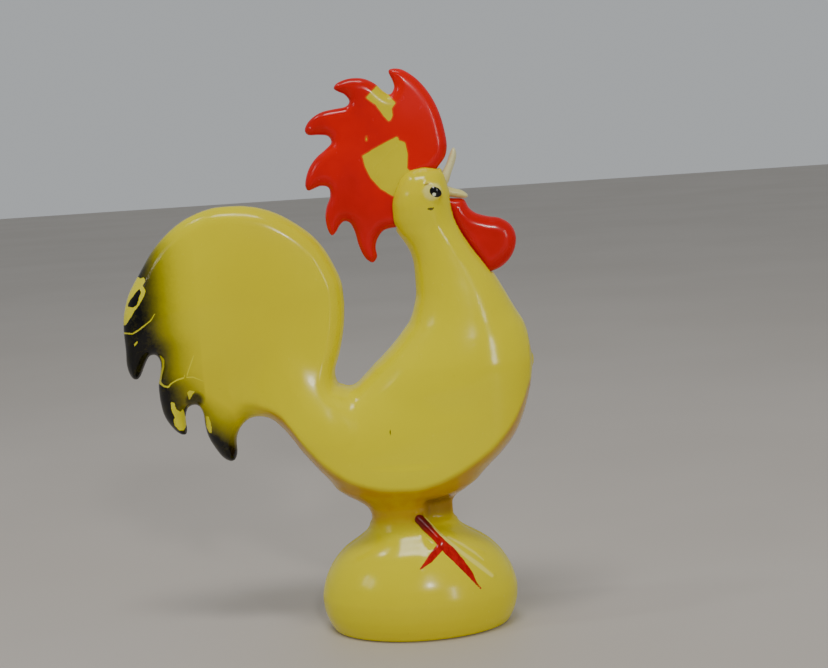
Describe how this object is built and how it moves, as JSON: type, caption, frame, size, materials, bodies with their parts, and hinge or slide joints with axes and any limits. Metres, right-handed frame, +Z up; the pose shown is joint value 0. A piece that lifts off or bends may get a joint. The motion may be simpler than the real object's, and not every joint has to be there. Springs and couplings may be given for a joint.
{
  "type": "wind-up hopping rooster",
  "caption": "Glossy moulded rooster figure on a domed base, with a spring motor, side winding key and a kicker under the base that makes it hop.",
  "frame": {"origin": "middle of the flat resting face under the base", "axes": "+Z up through the comb, +X the way the rooster faces, +Y towards the side with the winding key; the two moulded halves meet on Y = 0"},
  "size_m": [0.0943, 0.0469, 0.1309],
  "materials": {
    "shell": "gloss lacquer",
    "comb_paint": "gloss red paint over yellow plastic",
    "beak": "gloss cream",
    "base_plate": "moulded",
    "screw_steel": "zinc plated",
    "plate_steel": "stamped",
    "pillar_steel": "turned",
    "spring_steel": "blued",
    "arbor_steel": "turned",
    "gear_brass": "stamped",
    "eyelet_brass": "polished",
    "key_plate": "bright plated",
    "cam_plastic": "moulded",
    "pad_rubber": "plain"
  },
  "bodies": {
    "figure": {"right_shell": "shell", "left_shell": "shell", "comb": "comb_paint", "wattle": "comb_paint", "beak": "beak", "base_plate": "base_plate", "base_screws": "screw_steel", "motor_plate_right": "plate_steel", "motor_plate_left": "plate_steel", "motor_pillars": "pillar_steel", "motor_screws": "screw_steel", "mainspring": "spring_steel", "key_eyelet": "eyelet_brass", "kicker_stud": "arbor_steel", "kicker_spring": "spring_steel"},
    "great": {"great_wheel": "gear_brass", "click": "spring_steel", "click_rivet": "eyelet_brass"},
    "winding": {"winding_arbor": "arbor_steel", "ratchet_wheel": "gear_brass", "winding_key": "key_plate"},
    "second": {"second_arbor": "arbor_steel", "second_wheel": "gear_brass"},
    "cam": {"cam_arbor": "arbor_steel", "hop_cam": "cam_plastic"},
    "kicker": {"kicker_lever": "plate_steel", "kicker_pad": "pad_rubber"}
  },
  "joints": [
    {"name": "great_wheel_turn", "type": "hinge", "parent": "figure", "child": "great", "pos_m": [-0.004, 0, 0.0105], "axis": [0, 1, 0], "range_deg": [0, 36.76]},
    {"name": "key_turn", "type": "hinge", "parent": "great", "child": "winding", "pos_m": [-0.004, 0, 0.0105], "axis": [0, -1, 0], "range_deg": [0, 1080], "deforming": ["mainspring", "click"]},
    {"name": "second_wheel_turn", "type": "hinge", "parent": "figure", "child": "second", "pos_m": [0.0042, 0, 0.0137], "axis": [0, 1, 0], "range_deg": [-125.01, 0]},
    {"name": "cam_turn", "type": "hinge", "parent": "figure", "child": "cam", "pos_m": [0.0093, 0, 0.0092], "axis": [0, 1, 0], "range_deg": [0, 300.01]},
    {"name": "kicker_swing", "type": "hinge", "parent": "figure", "child": "kicker", "pos_m": [-0.002, 0, 0.0046], "axis": [0, 1, 0], "range_deg": [0, 13.21], "deforming": ["kicker_spring"]}
  ],
  "couplings": [
    {"joint": "second_wheel_turn", "follows": "great_wheel_turn", "ratio": -3.4},
    {"joint": "cam_turn", "follows": "great_wheel_turn", "ratio": 8.16},
    {"joint": "kicker_swing", "follows": "great_wheel_turn", "ratio": 0.35904}
  ]
}
